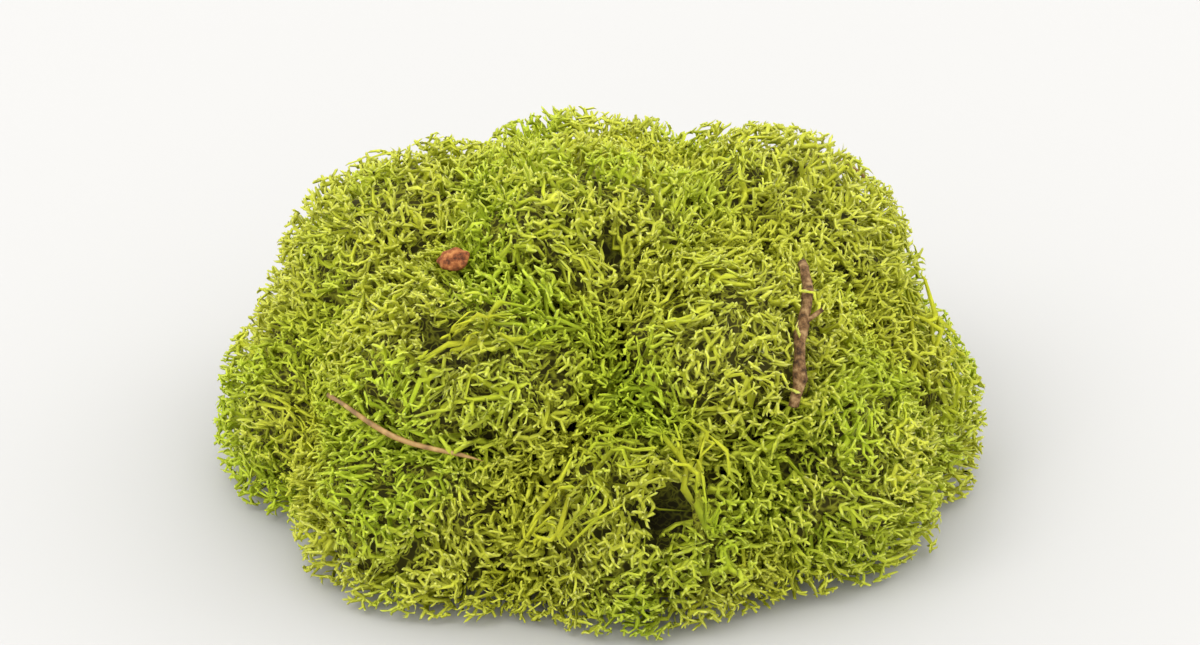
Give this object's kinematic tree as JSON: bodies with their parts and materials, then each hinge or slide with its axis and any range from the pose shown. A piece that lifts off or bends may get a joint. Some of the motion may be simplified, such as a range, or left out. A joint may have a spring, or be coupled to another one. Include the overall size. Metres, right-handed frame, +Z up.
{
  "type": "reindeer moss clump",
  "caption": "Low domed cushion of reindeer moss: many-branched heads grown close together on stems that rise from a mat of old dead stems, with a little litter caught in it.",
  "frame": {"origin": "middle of the clump's footprint, on the surface it rests on", "axes": "+X along the clump's longest way, +Z up; the side that faces -Y is the one seen first"},
  "size_m": [0.1104, 0.0968, 0.0537],
  "materials": {
    "lichen": "dry and matte, soft and springy, dyed yellow-green",
    "old_stems": "dead, dry and dull brown",
    "bark": "rough dry bark",
    "needle": "dry, with a faint sheen"
  },
  "bodies": {
    "root": {"head_01": "lichen", "head_02": "lichen", "head_03": "lichen", "head_04": "lichen", "head_05": "lichen", "head_06": "lichen", "head_07": "lichen", "head_08": "lichen", "head_09": "lichen", "head_10": "lichen", "head_11": "lichen", "head_12": "lichen", "head_13": "lichen", "head_14": "lichen", "old_stem_mat": "old_stems", "twig": "bark", "bark_scrap": "bark", "pine_needle_1": "needle", "pine_needle_2": "needle"}
  },
  "joints": []
}
